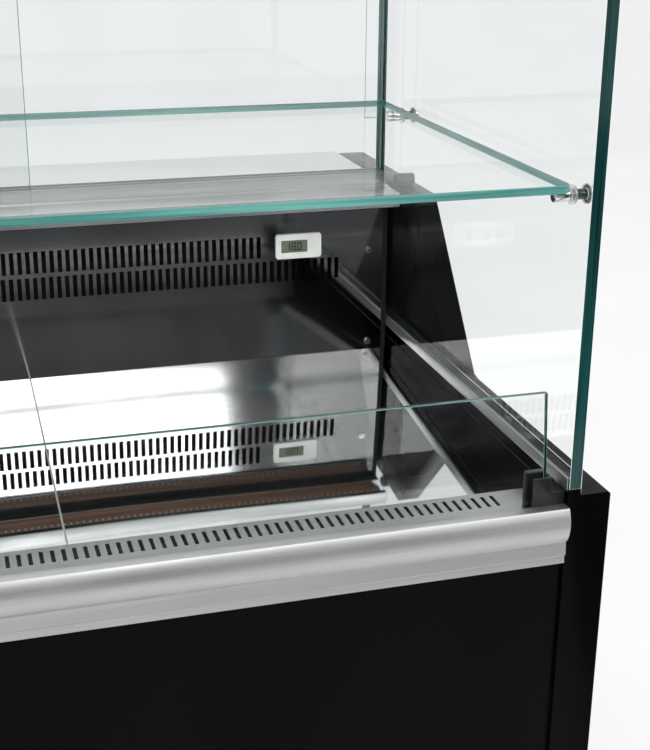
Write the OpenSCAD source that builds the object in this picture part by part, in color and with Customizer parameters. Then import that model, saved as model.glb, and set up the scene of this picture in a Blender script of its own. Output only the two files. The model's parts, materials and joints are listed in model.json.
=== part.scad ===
// Refrigerated self-service deli case with glass sides and a lit display well.
// X runs across the case, Y from the customer side to the service side, Z up from the floor.
// The origin is the centre of the overall outline on the floor.

/* [Case] */
// Overall width across the two end panels
case_w = 803; // [743:10:903]
// Depth of the end panels
case_d = 620; // [600:5:680]
// Overall height, floor to top glass
case_h = 1280; // [1240:5:1400]
// Height of the foot of the side glasses
sill_h = 880; // [860:5:920]
// Height of the floor gap under the base frame
floor_gap = 70; // [60:5:110]

/* [End panels] */
// Thickness of an end panel beside the side glass
panel_t = 35.5; // [32:0.5:40]
// Drop from the foot of the glass to the ledge outside it
ledge_drop = 5.7; // [4:0.1:8]
// Distance from the front edge to the start of the rising shoulder
shoulder_start = 270; // [240:5:300]
// Height of the rear shoulder above the foot of the glass
shoulder_h = 142; // [120:1:160]
// Lean of the shoulder edge from upright, in degrees
shoulder_lean = 38.7; // [30:0.1:45]

/* [Display well] */
// Distance from the front edge to the slotted back wall
wall_y = 426; // [400:1:440]
// Depth of the rear edge of the deck below the foot of the glass
deck_drop = 26.5; // [20:0.5:40]
// Slope of the deck towards the customer, in degrees
deck_slope = 3.47; // [0:0.01:6]
// Pitch of the air slots in the back wall
slot_pitch = 7.5; // [6:0.1:10]
// Width of one air slot in the back wall
slot_w = 4.1; // [3:0.1:5]
// Height of one air slot in the back wall
slot_h = 21.5; // [15:0.5:22]
// Pitch of the slots in the return grille
return_pitch = 7.85; // [7:0.05:12]
// Width of one slot in the return grille
return_slot_w = 3; // [2:0.1:5]

/* [Glass] */
// Thickness of the side glasses
side_glass_t = 10; // [8:1:12]
// Depth of the side glasses
side_glass_d = 470; // [465:1:480]
// Thickness of the shelf and of the front glass
shelf_t = 6; // [5:0.5:8]
// Height of the shelf's underside above the foot of the side glass
shelf_rise = 225; // [200:1:260]
// Lean of the front glass towards the service side, in degrees
front_glass_lean = 6; // [0:0.5:10]
// Height of the front glass's top edge above the foot of the side glass
front_glass_rise = 73.5; // [50:0.5:120]
// Thickness of the top glass
top_glass_t = 8; // [6:1:10]
// Thickness of the rear sliding doors
door_t = 5; // [4:0.5:6]

/* [Front trim] */
// How far the bumper stands proud of the end panels
nose = 7.2; // [5:0.1:12]
// Height of the whole bumper extrusion
bumper_h = 47.5; // [45:0.5:60]

/* [Machinery] */
// Diameter of an evaporator fan
evap_fan_d = 104; // [90:1:106]
// Diameter of the condenser fan
cond_fan_d = 196; // [160:1:200]
// Diameter of the levelling feet's threaded stem
stem_d = 16; // [12:1:20]

/* [Hidden] */
$fn = 48;
eps = 0.01;

// Planes that everything is placed from
half_w = case_w / 2;
in_x = half_w - panel_t;
lining_x = in_x + 2;
face_y = nose - (case_d + nose) / 2;
rear_y = face_y + case_d;
back_y = face_y + wall_y;
sheet_t = 1.2;
gap = 0.3;

// Deck
deck_front_y = face_y + 54;
pan_gap = 0.8;
function deck_z(y) = sill_h - deck_drop + (y - back_y) * tan(deck_slope);

// Base frame and feet
tube = 30;
frame_front_y = face_y + 40;
frame_rear_y = face_y + 590;
frame_top_z = sill_h - 230;
foot_x = in_x - 60;
foot_ys = [frame_front_y + tube / 2, frame_rear_y - tube / 2];

// Tub
tub_wall = 30;
tub_x = in_x - 1.5;
tub_front_y = face_y + 10;
tub_rear_y = face_y + 512;
cavity_x = tub_x - tub_wall;
cavity_front_y = face_y + 26;
duct_rear_y = face_y + 462;
tub_floor_z = frame_top_z + 50;
tub_top_z = sill_h - 64;
drain = [-150, face_y + 400];
pipe_x = cavity_x - 22;
pipe_ys = [face_y + 195, face_y + 240];

// Front trim
bumper_top_z = sill_h - 14;
bumper_back_y = face_y + 6;
channel_back_y = face_y + 16;
grille_z = sill_h - 20;
grille_back_y = face_y + 51.5;

// Rear top
ledge_z = sill_h + 131;
ledge_top_z = sill_h + 144.5;
light_front_y = face_y + 390;
rear_panel_y = frame_rear_y;

// Rear doors
track_front_y = face_y + 436;
track_d = 24;
track_h = 12;
door_bottom_z = ledge_top_z + 2.5;
door_top_z = case_h - top_glass_t - 2.5;
door_overlap = 14;
door_ys = [track_front_y + 3.5, track_front_y + 14.5];

// Shelf
shelf_x = in_x - 10;
shelf_z = sill_h + shelf_rise;
shelf_front_y = face_y + 9;
shelf_rear_y = face_y + 420;
peg_r = 5;
peg_ys = [face_y + 28, face_y + 392];

// Thermometer
thermo_x = in_x - 94.9;
thermo_z = sill_h + 88.9;
thermo_w = 47;
thermo_h = 25;

// Slot rows of the back wall: distance of each end from the side glass, and height of the middle
lower_row_z = sill_h + 63.8;
upper_row_z = sill_h + 89.5;
row_end = 52;
wall_screw_x = in_x - 20.5;
wall_screw_zs = [sill_h + 79.3, sill_h - 18.1];
upper_row_end = 131;

// Machinery
evap_fan_x = 150;
fan_plate_y = face_y + 352;
fan_plate_top = deck_z(fan_plate_y) - 12;
evap_fan_z = (tub_floor_z + fan_plate_top) / 2;
coil_low = tub_floor_z + sheet_t;
coil_x = cavity_x - 45;
cond_x = -110;
cond_z = floor_gap + tube + 125;
cond_y = face_y + 50;
cond_depth = 46;
cond_fan_gap = 10;
shaft_r = 3;
shaft_clear = 0.05;
compressor_pos = [190, face_y + 300];

// Controls on the service side
control_z = sill_h - 170;
knob_x = 60;
rocker_xs = [120, 160];
rocker_tilt = 11;
pivot_y = rear_panel_y - 3;
pivot_r = 1.5;
inlet_x = 220;

// ---- Helpers ----

// A box between two opposite corners
module block(lo, hi) {
    translate(lo)
        cube(hi - lo);
}

// A profile drawn as (y, z), extruded along X from x0 to x1
module along_x(x0, x1) {
    translate([x0, 0, 0])
        rotate([90, 0, 90])
            linear_extrude(x1 - x0)
                children();
}

// A profile drawn as (x, z), extruded towards the rear from y0 to y1
module along_y(y0, y1) {
    translate([0, y1, 0])
        rotate([90, 0, 0])
            linear_extrude(y1 - y0)
                children();
}

// A right-hand piece, or its mirror image when side is -1
module on_side(side) {
    mirror([side < 0 ? 1 : 0, 0, 0])
        children();
}

// A round bar along Y
module rod_y(x, z, y0, y1, r) {
    translate([x, y1, z])
        rotate([90, 0, 0])
            cylinder(h = y1 - y0, r = r);
}

// A round bar along X
module rod_x(y, z, x0, x1, r) {
    translate([x0, y, z])
        rotate([0, 90, 0])
            cylinder(h = x1 - x0, r = r);
}

// A rectangle centred on x and z, for profiles extruded along Y
module window(x, z, w, h) {
    translate([x - w / 2, z - h / 2])
        square([w, h]);
}

// A row of upright slots whose outer edges lie between x0 and x1
module slot_row(x0, x1, z, pitch, w, h) {
    count = floor((x1 - x0 - w) / pitch) + 1;
    slack = (x1 - x0 - w - (count - 1) * pitch) / 2;
    for (i = [0 : count - 1])
        translate([x0 + slack + i * pitch, z - h / 2])
            square([w, h]);
}

// A round bar that follows straight legs through the points
module pipe_run(points, r) {
    for (i = [0 : len(points) - 2]) {
        leg = points[i + 1] - points[i];
        turn = atan2(leg[1], leg[0]);
        dive = acos(leg[2] / norm(leg));
        translate(points[i])
            rotate([0, dive, turn])
                cylinder(h = norm(leg), r = r, $fn = 24);
    }
    for (i = [1 : 1 : len(points) - 2])
        translate(points[i])
            sphere(r = r, $fn = 24);
}

// An axial fan wheel turning about the Y axis, its hub bored from the motor's side
module fan_wheel(d, blades, hub_r, w) {
    translate([0, 1, 0])
        rotate([90, 0, 0])
            difference() {
                union() {
                    cylinder(h = w, r = hub_r, center = true);
                    intersection() {
                        cylinder(h = w, r = d / 2, center = true);
                        for (i = [0 : blades - 1])
                            rotate([0, 0, i * 360 / blades])
                                rotate([30, 0, 0])
                                    translate([hub_r * 0.7, -hub_r * 1.3, -0.75])
                                        cube([d / 2, hub_r * 2.6, 1.5]);
                    }
                }
                cylinder(h = w / 2 + 1, r = shaft_r + shaft_clear);
            }
}

// A fan motor ahead of a wheel at y = 1, on three arms that end on a plate's face at y = reach
module fan_motor(motor_l, motor_r, arm_r, reach) {
    front = -16;
    rear = front - motor_l;
    rod_y(0, 0, rear, front, motor_r);
    rod_y(0, 0, front, 0.5, shaft_r);
    for (a = [90, 210, 330])
        rotate([0, -a, 0]) {
            block([motor_r - 2, rear + 4, -3], [arm_r, rear + 8, 3]);
            block([arm_r - 4, rear + 4, -3], [arm_r, reach, 3]);
        }
}

// ---- Base ----

module frame_ring(z) {
    difference() {
        block([-in_x, frame_front_y, z], [in_x, frame_rear_y, z + tube]);
        block([-in_x + tube, frame_front_y + tube, z - 1],
            [in_x - tube, frame_rear_y - tube, z + tube + 1]);
    }
}

module base_frame() {
    color("#3a3b3d")
        difference() {
            union() {
                frame_ring(floor_gap);
                frame_ring(frame_top_z - tube);
                for (sx = [-1, 1])
                    for (y = [frame_front_y, frame_rear_y - tube])
                        on_side(sx)
                            block([in_x - tube, y, floor_gap], [lining_x, y + tube, frame_top_z]);
                for (y = [face_y + 230, face_y + 345, face_y + 480])
                    block([-in_x, y, floor_gap], [in_x, y + tube, floor_gap + tube]);
            }
            for (sx = [-1, 1])
                for (y = foot_ys)
                    translate([sx * foot_x, y, floor_gap - 1])
                        cylinder(h = tube + 2, r = stem_d / 2 + shaft_clear);
        }
}

// One levelling foot: pad with a domed top and a threaded stem
module foot(sx, row) {
    color("#1b1b1c")
        translate([sx * foot_x, foot_ys[row], 0]) {
            cylinder(h = 6, r = 25);
            translate([0, 0, 6])
                cylinder(h = 8, r1 = 25, r2 = 13);
            cylinder(h = floor_gap + tube + 12, r = stem_d / 2);
        }
}

module foot_front_left() { foot(-1, 0); }
module foot_front_right() { foot(1, 0); }
module foot_rear_left() { foot(-1, 1); }
module foot_rear_right() { foot(1, 1); }

// ---- Outer panels ----

// Outline of an end panel as (y, z): low ledge in front, leaning shoulder behind
module end_outline() {
    ledge = sill_h - ledge_drop;
    top = sill_h + shoulder_h;
    shoulder_y = face_y + shoulder_start;
    polygon([
        [face_y, floor_gap - 20],
        [rear_y, floor_gap - 20],
        [rear_y, top],
        [shoulder_y + (top - ledge) * tan(shoulder_lean), top],
        [shoulder_y, ledge],
        [face_y, ledge]
    ]);
}

module end_panel(side) {
    glass_rear_y = face_y + side_glass_d + gap;
    color("#18181a")
        on_side(side) {
            difference() {
                along_x(lining_x, half_w)
                    end_outline();
                block([0, face_y - 1, sill_h - ledge_drop], [in_x + 12.2, glass_rear_y, case_h]);
                translate([half_w, face_y + shoulder_start / 2 - 6, sill_h - ledge_drop])
                    rotate([0, 45, 0])
                        cube([2.5, shoulder_start, 2.5], center = true);
            }
            block([in_x, face_y, floor_gap - 20], [lining_x, face_y + 30, sill_h - ledge_drop]);
            block([in_x, face_y, sill_h - ledge_drop - 1],
                [in_x + side_glass_t, face_y + 2, sill_h - 0.4]);
        }
}

module end_panel_left() { end_panel(-1); }
module end_panel_right() { end_panel(1); }

module front_panel() {
    top = bumper_top_z - bumper_h;
    bottom = sill_h - 550;
    color("#121214") {
        block([-in_x, face_y + 4, bottom], [in_x, face_y + 5.5, top]);
        for (side = [-1, 1])
            on_side(side)
                block([in_x - sheet_t, face_y + 5.5, bottom], [in_x, frame_front_y, top]);
        block([-in_x, face_y + 5.5, bottom], [in_x, frame_front_y, bottom + sheet_t]);
    }
}

module kick_grille() {
    top = sill_h - 550 - 1;
    bottom = floor_gap;
    pitch = (top - bottom - 40) / 9;
    color("#121214") {
        along_y(face_y + 4, face_y + 5.5)
            difference() {
                translate([-in_x, bottom])
                    square([2 * in_x, top - bottom]);
                for (i = [0 : 8])
                    for (x = [-in_x / 2, in_x / 2])
                        window(x, bottom + 20 + (i + 0.5) * pitch, in_x - 60, pitch * 0.42);
            }
        for (side = [-1, 1])
            on_side(side)
                block([in_x - sheet_t, face_y + 5.5, bottom], [in_x, frame_front_y, top]);
    }
}

module rear_panel() {
    color("#9b9d9f")
        along_y(rear_panel_y, rear_panel_y + sheet_t)
            difference() {
                translate([-in_x, floor_gap])
                    square([2 * in_x, ledge_z - floor_gap]);
                for (i = [0 : 9])
                    for (x = [-in_x / 2, in_x / 2])
                        window(x, floor_gap + 50 + i * 24, in_x - 80, 8);
                translate([knob_x, control_z])
                    circle(r = 5.5);
                for (x = rocker_xs)
                    window(x, control_z, 20, 28);
                window(inlet_x, control_z, 28, 22);
            }
}

// ---- Insulated tub ----

module tub_insulation() {
    color("#e6d79c")
        difference() {
            union() {
                block([-tub_x, tub_front_y, frame_top_z], [tub_x, tub_rear_y, tub_top_z]);
                block([-tub_x, tub_front_y, tub_top_z], [tub_x, cavity_front_y, sill_h - 36]);
            }
            block([-cavity_x, cavity_front_y, tub_floor_z], [cavity_x, duct_rear_y, tub_top_z + 1]);
            translate([drain[0], drain[1], frame_top_z - 1])
                cylinder(h = 52, r = 11);
            for (y = pipe_ys)
                translate([pipe_x, y, frame_top_z - 1])
                    cylinder(h = 52, r = 8);
        }
}

module tub_liner() {
    color("#b9bcbf")
        difference() {
            block([-cavity_x, cavity_front_y, tub_floor_z], [cavity_x, duct_rear_y, tub_top_z]);
            block(
                [-cavity_x + sheet_t, cavity_front_y + sheet_t, tub_floor_z + sheet_t],
                [cavity_x - sheet_t, duct_rear_y - sheet_t, tub_top_z + 1]
            );
            translate([drain[0], drain[1], tub_floor_z - 1])
                cylinder(h = 4, r = 9);
            for (y = pipe_ys)
                translate([pipe_x, y, tub_floor_z - 1])
                    cylinder(h = 4, r = 7);
        }
}

module drain_pipe() {
    low = floor_gap + tube + 30;
    color("#cfd3d4")
        translate([drain[0], drain[1], low])
            difference() {
                cylinder(h = tub_floor_z - low, r = 11);
                translate([0, 0, -1])
                    cylinder(h = tub_floor_z - low + 2, r = 9);
            }
}

// Foam round the back and the ends of the air duct, from the tub up to the rear ledge
module back_insulation() {
    color("#e6d79c")
        difference() {
            union() {
                block([-tub_x, duct_rear_y, tub_top_z], [tub_x, tub_rear_y, ledge_z]);
                for (side = [-1, 1])
                    on_side(side)
                        block([cavity_x, back_y + sheet_t, tub_top_z], [tub_x, duct_rear_y, ledge_z]);
            }
            for (side = [-1, 1])
                for (z = wall_screw_zs)
                    rod_y(side * wall_screw_x, z, back_y, back_y + 10, 2);
        }
}

module back_wall() {
    x_end = in_x - 5.6;
    color("#a9abad")
        along_y(back_y, back_y + sheet_t)
            difference() {
                translate([-x_end, deck_z(back_y) - 3])
                    square([2 * x_end, ledge_z - deck_z(back_y) + 3]);
                slot_row(-in_x + row_end, in_x - row_end, lower_row_z, slot_pitch, slot_w, slot_h);
                slot_row(-in_x + row_end, in_x - upper_row_end, upper_row_z, slot_pitch, slot_w, slot_h);
                window(thermo_x, thermo_z, thermo_w - 3, thermo_h - 4);
                for (side = [-1, 1])
                    for (z = wall_screw_zs)
                        translate([side * wall_screw_x, z])
                            circle(r = 2);
            }
}

module wall_screws() {
    color("#c9cbcd")
        for (side = [-1, 1])
            for (z = wall_screw_zs) {
                rod_y(side * wall_screw_x, z, back_y, back_y + 10, 2);
                rod_y(side * wall_screw_x, z, back_y - 1.2, back_y, 3.6);
                rod_y(side * wall_screw_x, z, back_y - 2, back_y - 1.2, 2.6);
            }
}

module side_lining(side) {
    color("#707275")
        on_side(side)
            block([in_x + 1, face_y + 30, tub_top_z], [lining_x, back_y + 30, sill_h - 1.4]);
}

module side_lining_left() { side_lining(-1); }
module side_lining_right() { side_lining(1); }

// Black sealing strips between the back wall and the side glasses
module corner_trims() {
    color("#0d0d0e")
        for (side = [-1, 1])
            on_side(side)
                block([in_x - 5.6, back_y, deck_z(back_y) - 3], [in_x - 1, back_y + sheet_t, ledge_z]);
}

// ---- Deck ----

// Side view of the space between the tub's rim and the underside of the deck pans
module deck_wedge(y0, y1) {
    polygon([
        [y0, tub_top_z],
        [y1, tub_top_z],
        [y1, deck_z(y1) - sheet_t],
        [y0, deck_z(y0) - sheet_t]
    ]);
}

module deck_frame() {
    y0 = deck_front_y + 2;
    y1 = back_y - 2;
    color("#8f9295") {
        for (side = [-1, 1])
            on_side(side)
                along_x(cavity_x, tub_x)
                    deck_wedge(y0, y1);
        along_x(-10, 10)
            deck_wedge(y0, y1);
        along_x(-cavity_x, cavity_x)
            deck_wedge(y0, y0 + 10);
        along_x(-cavity_x, cavity_x)
            deck_wedge(y1 - 10, y1);
    }
}

module deck_pan(side) {
    y0 = deck_front_y;
    y1 = back_y - 0.4;
    color("#c4c6c8")
        on_side(side) {
            along_x(pan_gap, in_x + 0.6)
                polygon([
                    [y0, deck_z(y0) - sheet_t],
                    [y1, deck_z(y1) - sheet_t],
                    [y1, deck_z(y1)],
                    [y0, deck_z(y0)]
                ]);
            along_x(pan_gap, in_x + 0.6)
                polygon([
                    [y0, deck_z(y0) - 8],
                    [y0 + sheet_t, deck_z(y0) - 8],
                    [y0 + sheet_t, deck_z(y0) - sheet_t / 2],
                    [y0, deck_z(y0) - sheet_t / 2]
                ]);
        }
}

module deck_pan_left() { deck_pan(-1); }
module deck_pan_right() { deck_pan(1); }

// Flat slotted strip with a flange turned down at its rear edge
module return_grille() {
    slot_end = 41;
    color("#a4a6a8") {
        translate([0, 0, grille_z - sheet_t])
            linear_extrude(sheet_t)
                difference() {
                    translate([-in_x, channel_back_y])
                        square([2 * in_x, grille_back_y - channel_back_y]);
                    slot_row(-in_x + slot_end, in_x - slot_end, face_y + 36,
                        return_pitch, return_slot_w, 18);
                }
        block([-in_x, grille_back_y - sheet_t, tub_top_z], [in_x, grille_back_y, grille_z - sheet_t]);
    }
}

// ---- Front trim ----

// Convex nose over a stepped skirt, drawn as (y, z) from the bumper's top corner down
module bumper_profile() {
    nose_h = 27;
    nose_mid = bumper_top_z - nose_h / 2;
    nose_r = 26;
    arc = asin(nose_h / 2 / nose_r);
    polygon([
        [bumper_back_y, bumper_top_z],
        for (i = [0 : 12])
            let (a = arc * (1 - i / 6))
            [face_y - nose + nose_r * (1 - cos(a)), nose_mid + nose_r * sin(a)],
        [face_y - 1.3, bumper_top_z - nose_h - 2],
        [face_y - 2.2, bumper_top_z - 40],
        [face_y - 0.4, bumper_top_z - 41.5],
        [face_y - 0.9, bumper_top_z - bumper_h],
        [bumper_back_y + 4, bumper_top_z - bumper_h],
        [bumper_back_y + 4, bumper_top_z - 22],
        [bumper_back_y, bumper_top_z - 22]
    ]);
}

module bumper() {
    color("#bfc1c2")
        along_x(-in_x, in_x)
            bumper_profile();
}

module front_glass_channel() {
    low = sill_h - 36;
    color("#9fa2a4")
        along_x(-in_x, in_x)
            difference() {
                translate([bumper_back_y, low])
                    square([channel_back_y - bumper_back_y, grille_z - low]);
                translate([bumper_back_y + 1.5, low + 2])
                    square([channel_back_y - bumper_back_y - 3, 30]);
            }
}

module front_glass() {
    color([0.75, 0.88, 0.84, 0.35])
        translate([-in_x + 13.5, face_y + 7.8, sill_h - 33.2])
            rotate([-front_glass_lean, 0, 0])
                cube([2 * in_x - 27, shelf_t - 1, front_glass_rise + 33]);
}

// Black blocks that grip the lower corners of the front glass
module glass_end_blocks() {
    low = grille_z;
    color("#0f0f10")
        for (side = [-1, 1])
            on_side(side)
                difference() {
                    union() {
                        block([in_x - 27, bumper_back_y, low], [in_x - 11, face_y + 24, sill_h + 9]);
                        block([in_x - 12, bumper_back_y, low], [in_x, face_y + 24, sill_h - 3]);
                    }
                    block([in_x - 30, face_y + 8, low - 1], [in_x - 13, face_y + 18, sill_h + 10]);
                }
}

// ---- Glass ----

module glass_channel(side) {
    top = sill_h + 8.3;
    foot = sill_h - 0.4;
    low = sill_h - ledge_drop;
    out_x = in_x + side_glass_t;
    color("#8d9092")
        on_side(side)
            along_y(face_y + 2, face_y + side_glass_d)
                polygon([
                    [in_x - 1, top],
                    [in_x, top],
                    [in_x, foot],
                    [out_x, foot],
                    [out_x, top],
                    [out_x + 1.5, top],
                    [out_x + 1.5, low],
                    [lining_x, low],
                    [lining_x, sill_h - 1.4],
                    [in_x - 1, sill_h - 1.4]
                ]);
}

module glass_channel_left() { glass_channel(-1); }
module glass_channel_right() { glass_channel(1); }

module side_glass(side) {
    color([0.7, 0.86, 0.82, 0.35])
        on_side(side)
            difference() {
                block([in_x, face_y, sill_h - 0.4],
                    [in_x + side_glass_t, face_y + side_glass_d, case_h - top_glass_t]);
                for (y = peg_ys)
                    rod_x(y, shelf_z - peg_r, in_x - 1, in_x + side_glass_t + 1, 4);
            }
}

module side_glass_left() { side_glass(-1); }
module side_glass_right() { side_glass(1); }

// Round clamps that hold the rear corners of the side glasses to the shoulders
module glass_clamps() {
    color("#141415")
        for (side = [-1, 1])
            on_side(side)
                rod_x(face_y + 438, sill_h + shoulder_h + 6, in_x + side_glass_t, in_x + 30, 6);
}

// Shelf with its two front corners rounded
module shelf_glass() {
    corner = 8;
    color([0.7, 0.86, 0.82, 0.35])
        translate([0, 0, shelf_z])
            linear_extrude(shelf_t) {
                translate([-shelf_x, shelf_front_y + corner])
                    square([2 * shelf_x, shelf_rear_y - shelf_front_y - corner]);
                translate([-shelf_x + corner, shelf_front_y])
                    square([2 * (shelf_x - corner), corner + 1]);
                for (side = [-1, 1])
                    translate([side * (shelf_x - corner), shelf_front_y + corner])
                        circle(r = corner);
            }
}

// Stainless pegs through the side glasses, each with a cap outside
module shelf_pegs() {
    out_x = in_x + side_glass_t;
    color("#c8cacc")
        for (side = [-1, 1])
            on_side(side)
                for (y = peg_ys) {
                    rod_x(y, shelf_z - peg_r, in_x - 16, in_x - 2, peg_r);
                    rod_x(y, shelf_z - peg_r, in_x - 2.5, out_x + 2, 3.5);
                    rod_x(y, shelf_z - peg_r, out_x + 1, out_x + 4, 7);
                }
}

// Clear washers between the pegs and the glass
module peg_washers() {
    out_x = in_x + side_glass_t;
    color([0.92, 0.94, 0.95, 0.6])
        for (side = [-1, 1])
            on_side(side)
                for (y = peg_ys)
                    for (x = [in_x - 2, out_x])
                        difference() {
                            rod_x(y, shelf_z - peg_r, x, x + (x < in_x ? 2 : 1), 7.5);
                            rod_x(y, shelf_z - peg_r, x - 1, x + 3, 3.5);
                        }
}

module top_glass() {
    out_x = in_x + side_glass_t;
    color([0.7, 0.86, 0.82, 0.35])
        block([-out_x, face_y, case_h - top_glass_t], [out_x, face_y + side_glass_d, case_h]);
}

// ---- Rear ledge, light and doors ----

// Aluminium lip over the back wall with a recess underneath for the light
module light_profile() {
    color("#a7aaac")
        along_x(-in_x + 1, in_x - 1)
            difference() {
                translate([light_front_y, ledge_z])
                    square([back_y + sheet_t - light_front_y, ledge_top_z - ledge_z]);
                translate([light_front_y + 6, ledge_z - 1])
                    square([20, 9]);
            }
}

module light_lens() {
    color("#f4ead2")
        block([-in_x + 10, light_front_y + 6, ledge_z + 1], [in_x - 10, light_front_y + 26, ledge_z + 8]);
}

module rear_worktop() {
    color("#b4b7b9") {
        block([-in_x, back_y + sheet_t, ledge_z], [in_x, rear_y, ledge_top_z]);
        block([-lining_x, face_y + side_glass_d + gap, ledge_z], [lining_x, rear_y, ledge_top_z]);
        block([-in_x, rear_y - 2, ledge_z - 25], [in_x, rear_y, ledge_z]);
    }
}

// Section of a two-lane sliding-door track as (y, z), open upwards
module track_section() {
    lip = 1.5;
    difference() {
        square([track_d, track_h]);
        for (y = [lip, (track_d + lip) / 2])
            translate([y, 2])
                square([(track_d - 3 * lip) / 2, track_h]);
    }
}

module door_tracks() {
    color("#b4b7b9") {
        along_x(-in_x, in_x)
            translate([track_front_y, ledge_top_z])
                track_section();
        along_x(-in_x, in_x)
            translate([track_front_y, case_h - top_glass_t])
                mirror([0, 1])
                    track_section();
    }
}

// A sliding door with a finger grip along its outer edge
module rear_door(side, lane) {
    y = door_ys[lane];
    mid = (door_bottom_z + door_top_z) / 2;
    color([0.8, 0.9, 0.9, 0.35])
        on_side(side) {
            block([-door_overlap, y, door_bottom_z], [in_x - 1, y + door_t, door_top_z]);
            block([in_x - 17, y + door_t, mid - 60], [in_x - 3, y + door_t + 2.5, mid + 60]);
        }
}

module rear_door_left() { rear_door(-1, 0); }
module rear_door_right() { rear_door(1, 1); }

// ---- Thermometer ----

module thermometer() {
    corner = 3;
    color("#eef0ee")
        difference() {
            union() {
                along_y(back_y - 2.5, back_y) {
                    window(thermo_x, thermo_z, thermo_w - 2 * corner, thermo_h);
                    window(thermo_x, thermo_z, thermo_w, thermo_h - 2 * corner);
                    for (sx = [-1, 1])
                        for (sz = [-1, 1])
                            translate([thermo_x, thermo_z])
                                translate([sx * (thermo_w / 2 - corner), sz * (thermo_h / 2 - corner)])
                                    circle(r = corner);
                }
                along_y(back_y - eps, back_y + 14)
                    window(thermo_x, thermo_z, thermo_w - 3.4, thermo_h - 4.4);
            }
            along_y(back_y - 3, back_y - 1)
                window(thermo_x - 4.5, thermo_z, 27, 12.5);
        }
}

module thermometer_display() {
    color("#5d6454")
        along_y(back_y - 1.9, back_y - 1)
            window(thermo_x - 4.5, thermo_z, 27, 12.5);
}

// ---- Evaporator ----

module evaporator() {
    front = face_y + 120;
    fins = 25;
    color("#aeb4b8") {
        for (i = [0 : fins - 1])
            translate([-coil_x + i * (2 * coil_x - 2) / (fins - 1), front, coil_low])
                cube([2, 150, 104]);
        for (y = [front + 30, front + 75, front + 120])
            for (z = [coil_low + 26, coil_low + 52, coil_low + 78])
                rod_x(y, z, -coil_x - 8, coil_x + 8, 6);
    }
}

// Plate across the tub with two round fan openings, notched round the deck's middle rail
module fan_plate() {
    x_end = cavity_x - sheet_t;
    color("#9ea2a5")
        along_y(fan_plate_y, fan_plate_y + sheet_t)
            difference() {
                translate([-x_end, coil_low])
                    square([2 * x_end, fan_plate_top - coil_low]);
                translate([-12, tub_top_z - 1])
                    square([24, 50]);
                for (side = [-1, 1])
                    translate([side * evap_fan_x, evap_fan_z])
                        circle(d = evap_fan_d + 8);
            }
}

module evaporator_fan_motors() {
    color("#2c2e30")
        for (side = [-1, 1])
            translate([side * evap_fan_x, fan_plate_y, evap_fan_z])
                fan_motor(34, 20, evap_fan_d / 2 + 7, 0);
}

module evaporator_fan(side) {
    color("#3b4044")
        translate([side * evap_fan_x, fan_plate_y, evap_fan_z])
            fan_wheel(evap_fan_d, 5, 16, 16);
}

module evaporator_fan_left() { evaporator_fan(-1); }
module evaporator_fan_right() { evaporator_fan(1); }

// ---- Condensing unit ----

// Hermetic compressor: domed shell on a foot plate with its terminal cover
module compressor() {
    foot_w = 190;
    foot_d = 160;
    shell_r = 78;
    shell_low = 21;
    shell_side = 120;
    dome_h = 55;
    color("#1d1e20")
        translate([compressor_pos[0], compressor_pos[1], floor_gap + tube]) {
            translate([-foot_w / 2, -foot_d / 2, 0])
                cube([foot_w, foot_d, 4]);
            for (sx = [-1, 1])
                for (sy = [-1, 1])
                    translate([sx * 75, sy * 60, 4])
                        cylinder(h = 14, r = 12);
            translate([-foot_w / 2, -foot_d / 2, 18])
                cube([foot_w, foot_d, 3]);
            rotate_extrude()
                polygon([
                    [0, shell_low],
                    [shell_r - 8, shell_low],
                    [shell_r, shell_low + 11],
                    for (i = [0 : 8])
                        [shell_r * cos(i * 90 / 8), shell_side + dome_h * sin(i * 90 / 8)]
                ]);
            translate([-30, -100, 70])
                cube([60, 40, 55]);
        }
}

// Finned block on a plinth, with a ring for the fan on its rear face
module condenser() {
    w = 250;
    h = 220;
    fins = 21;
    depth = cond_depth - 2;
    color("#3d4043") {
        for (i = [0 : fins - 1])
            translate([cond_x - w / 2 + i * (w - 2) / (fins - 1), cond_y, cond_z - h / 2])
                cube([2, depth, h]);
        for (y = [cond_y + 12, cond_y + 32])
            for (i = [-2 : 2])
                rod_x(y, cond_z + 44 * i, cond_x - w / 2 - 6, cond_x + w / 2 + 6, 5);
        along_y(cond_y + depth, cond_y + cond_depth)
            difference() {
                window(cond_x, cond_z, w, h);
                translate([cond_x, cond_z])
                    circle(d = cond_fan_d + 10);
            }
        block([cond_x - w / 2, cond_y, floor_gap + tube],
            [cond_x + w / 2, cond_y + cond_depth, cond_z - h / 2]);
    }
}

// Places a fan part, drawn ahead of its plate, behind the condenser instead
module at_condenser() {
    translate([cond_x, cond_y + cond_depth + cond_fan_gap, cond_z])
        mirror([0, 1, 0])
            children();
}

module condenser_fan_motor() {
    color("#2c2e30")
        at_condenser()
            fan_motor(30, 30, cond_fan_d / 2 + 9, cond_fan_gap);
}

module condenser_fan() {
    color("#8d9194")
        at_condenser()
            fan_wheel(cond_fan_d, 5, 22, 16);
}

module evaporation_tray() {
    z0 = floor_gap + tube;
    lo = [drain[0] - 140, drain[1] - 60, z0];
    hi = [drain[0] + 140, drain[1] + 130, z0 + 50];
    color("#a9adb0")
        difference() {
            block(lo, hi);
            block(lo + [1.5, 1.5, 1.5], hi + [-1.5, -1.5, 1]);
        }
}

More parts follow.
